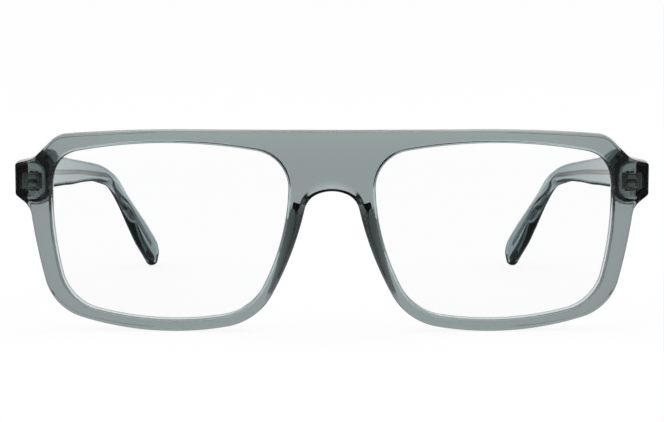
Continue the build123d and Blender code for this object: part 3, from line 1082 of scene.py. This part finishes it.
def math_node(tree, operation, first, second=None):
    """The result of a math node whose inputs are sockets or numbers."""
    node = tree.nodes.new("ShaderNodeMath")
    node.operation = operation
    for socket, value in zip(node.inputs, (first, second)):
        if isinstance(value, (int, float)):
            socket.default_value = value
        elif value is not None:
            tree.links.new(value, socket)
    return node.outputs[0]


def mixed_surface(tree, share, first, second, output):
    """Show a share of the second shader and the rest of the first."""
    mix = tree.nodes.new("ShaderNodeMixShader")
    tree.links.new(share, mix.inputs["Fac"])
    tree.links.new(first.outputs[0], mix.inputs[1])
    tree.links.new(second.outputs[0], mix.inputs[2])
    tree.links.new(mix.outputs[0], output.inputs["Surface"])


def clear_lens():
    """Clear moulded plastic: straight light and a faint, slightly uneven gloss."""
    material, tree, output = node_tree("demo_lens")
    clear = tree.nodes.new("ShaderNodeBsdfTransparent")
    clear.inputs["Color"].default_value = (*lens_clearness, 1)
    gloss = tree.nodes.new("ShaderNodeBsdfGlossy")
    gloss.inputs["Color"].default_value = (1, 1, 1, 1)
    roughness = spread(tree, noise(tree, lens_scale), 0.0, lens_roughness)
    tree.links.new(roughness, gloss.inputs["Roughness"])
    facing = tree.nodes.new("ShaderNodeLayerWeight")
    grazing = math_node(tree, "POWER", facing.outputs["Facing"], grazing_power)
    mixed_surface(tree, spread(tree, grazing, lens_sheen, 1.0), clear, gloss, output)
    return material


lens_plastic = clear_lens()


def finish_node(node, material):
    """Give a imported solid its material."""
    piece = frame["nodes"][node]
    piece.data.materials.clear()
    piece.data.materials.append(material)


for side in sides:
    finish_node("lens_" + side, lens_plastic)
    finish_node("hinge_screw_" + side, screw_steel)
    finish_node("temple_core_" + side, core_steel)

# %% [markdown]
# ## Floor, light and camera
# A pale floor and a white room suit clear plastic: what it shows is what lies behind it. Glass
# on plain white has no edges, though, so a photographer sets dark flags at the sides and above
# the horizon: light that the rounded edges bend far off its way then ends in a flag and draws a
# dark line. Here the flags are part of the room's pattern, and only reflected and refracted
# light meets them. For the camera the floor is plain white, and for diffuse light it is a matt
# floor, so a soft shadow of the glasses stays on it. Close to the glasses the floor is also
# white for light that comes through them, so that they look as clear from the back and sides,
# while in reflections it is dark there: a painted shadow under the glasses.

# %% Flags by direction
flag_level, side_level = 0.10, 0.55
side_flag_reach, open_side_reach = (0.08, 0.34), (0.94, 0.99)


def smooth_step(tree, value, reach, low=0.0, high=1.0):
    """A smooth rise from low to high while the value goes through the reach."""
    node = tree.nodes.new("ShaderNodeMapRange")
    node.interpolation_type = "SMOOTHSTEP"
    for name, number in (
        ("From Min", reach[0]), ("From Max", reach[1]), ("To Min", low), ("To Max", high)
    ):
        node.inputs[name].default_value = number
    tree.links.new(value, node.inputs["Value"])
    return node.outputs["Result"]


def side_share(tree, axes):
    """How far a direction points to the sides: 0 to the front or back, 1 to the left or right."""
    across, along = (math_node(tree, "MULTIPLY", axes[i], axes[i]) for i in (0, 1))
    total = math_node(tree, "ADD", math_node(tree, "ADD", across, along), 1e-6)
    return math_node(tree, "DIVIDE", across, total)


def side_flags(tree, axes):
    """The level of the side flags in a direction, half open straight to the sides."""
    share = side_share(tree, axes)
    flag = smooth_step(tree, share, side_flag_reach, 1.0, flag_level)
    opened = smooth_step(tree, share, open_side_reach, 0.0, side_level - flag_level)
    return math_node(tree, "ADD", flag, opened)


def bent_light(tree):
    """1 for light that reached here off a surface or through one, else 0."""
    path = tree.nodes.new("ShaderNodeLightPath").outputs
    return math_node(tree, "MAXIMUM", path["Is Glossy Ray"], path["Is Transmission Ray"])


def blend(tree, share, first, second):
    """A number that goes from first to second by a share."""
    change = math_node(tree, "SUBTRACT", second, first)
    return math_node(tree, "ADD", first, math_node(tree, "MULTIPLY", share, change))


# %% Floor
floor_reach, floor_colour, floor_glow = 8.0, (0.9, 0.9, 0.9), 0.88
# Near the glasses, reflections see the floor darkened to this level: a painted shadow under the glasses.
near_floor, reflected_shadow_level = (0.24, 0.32), 0.10


def floor_material():
    """Matt for diffuse light, plain white for the camera, flagged for bent light, and a painted shadow near
    the glasses in reflections.
    """
    material, tree, output = node_tree("white_floor")
    matt = tree.nodes.new("ShaderNodeBsdfDiffuse")
    matt.inputs["Color"].default_value = (*floor_colour, 1)
    glow = tree.nodes.new("ShaderNodeEmission")
    place = tree.nodes.new("ShaderNodeTexCoord")
    axes = tree.nodes.new("ShaderNodeSeparateXYZ")
    tree.links.new(place.outputs["Object"], axes.inputs[0])
    distance = tree.nodes.new("ShaderNodeVectorMath")
    distance.operation = "LENGTH"
    tree.links.new(place.outputs["Object"], distance.inputs[0])
    far = smooth_step(tree, distance.outputs["Value"], near_floor)
    path = tree.nodes.new("ShaderNodeLightPath").outputs
    not_passed = math_node(tree, "SUBTRACT", 1.0, path["Is Transmission Ray"])
    mirrored = math_node(tree, "MULTIPLY", path["Is Glossy Ray"], not_passed)
    # Painted shadow: near the glasses reflections see the floor dark, while light through the glasses sees
    # it white.
    near = blend(tree, mirrored, 1.0, reflected_shadow_level)
    flag = blend(tree, far, near, side_flags(tree, axes.outputs))
    bent = bent_light(tree)
    level = blend(tree, bent, 1.0, flag)
    tree.links.new(level, glow.inputs["Strength"])
    lit = math_node(tree, "MAXIMUM", path["Is Camera Ray"], bent)
    share = math_node(tree, "MULTIPLY", lit, blend(tree, level, 1.0, floor_glow))
    mixed_surface(tree, share, matt, glow, output)
    return material


def make_floor():
    """A big matt floor under the glasses."""
    corners = [(x * floor_reach, y * floor_reach, 0) for x, y in ((-1, -1), (1, -1), (1, 1), (-1, 1))]
    mesh = bpy.data.meshes.new("floor")
    mesh.from_pydata(corners, [], [(0, 1, 2, 3)])
    mesh.materials.append(floor_material())
    floor = bpy.data.objects.new("floor", mesh)
    bpy.context.scene.collection.objects.link(floor)


# %% Room
upper_flag_reach, soft_box_reach = (0.45, 0.65), (0.85, 0.95)


def make_room():
    """A white room with flags at the sides and above the horizon, and a soft box overhead."""
    world = bpy.data.worlds.new("room")
    bpy.context.scene.world = world
    world.use_nodes = True
    tree = world.node_tree
    place = tree.nodes.new("ShaderNodeTexCoord")
    axes = tree.nodes.new("ShaderNodeSeparateXYZ")
    tree.links.new(place.outputs["Generated"], axes.inputs[0])
    sides = side_flags(tree, axes.outputs)
    above = smooth_step(tree, axes.outputs[2], upper_flag_reach)
    overhead = smooth_step(tree, axes.outputs[2], soft_box_reach)
    level = blend(tree, overhead, blend(tree, above, sides, flag_level), 1.0)
    background = tree.nodes["Background"]
    background.inputs["Color"].default_value = (1, 1, 1, 1)
    tree.links.new(blend(tree, bent_light(tree), 1.0, level), background.inputs["Strength"])


make_floor()
make_room()
print("flags at", flag_level, "of the white level, straight to the sides at", side_level)

# %% Lamps
def soft_lamp(name, place, size, power):
    """A square area lamp that looks at the glasses."""
    data = bpy.data.lights.new(name, "AREA")
    data.size, data.energy = size, power
    lamp = bpy.data.objects.new(name, data)
    lamp.location = place
    lamp.rotation_mode = "QUATERNION"
    lamp.rotation_quaternion = Vector(place).to_track_quat("Z", "Y")
    bpy.context.scene.collection.objects.link(lamp)


soft_lamp("key_lamp", (-0.5, -0.6, 0.8), 0.5, 1.0)
soft_lamp("top_lamp", (0.2, 0.3, 1.0), 0.6, 1.0)

# %% [markdown]
# The camera stands 70 cm in front of the lenses and looks five degrees down, with a long lens,
# as a product photographer would set it.

# %% Camera
camera_distance, camera_height, camera_pitch = 0.770, 0.0925, radians(5.27)
focal_pixels, picture_width = 3071.3, 664
data = bpy.data.cameras.new("camera")
data.sensor_width = 36.0
data.lens = focal_pixels / picture_width * data.sensor_width
data.clip_start, data.clip_end = 0.05, 50
camera = bpy.data.objects.new("camera", data)
camera.location = (0, -camera_distance, camera_height)
camera.rotation_euler = (pi / 2 - camera_pitch, 0, 0)
bpy.context.scene.collection.objects.link(camera)
bpy.context.scene.camera = camera
bpy.context.scene.view_settings.view_transform = "Standard"
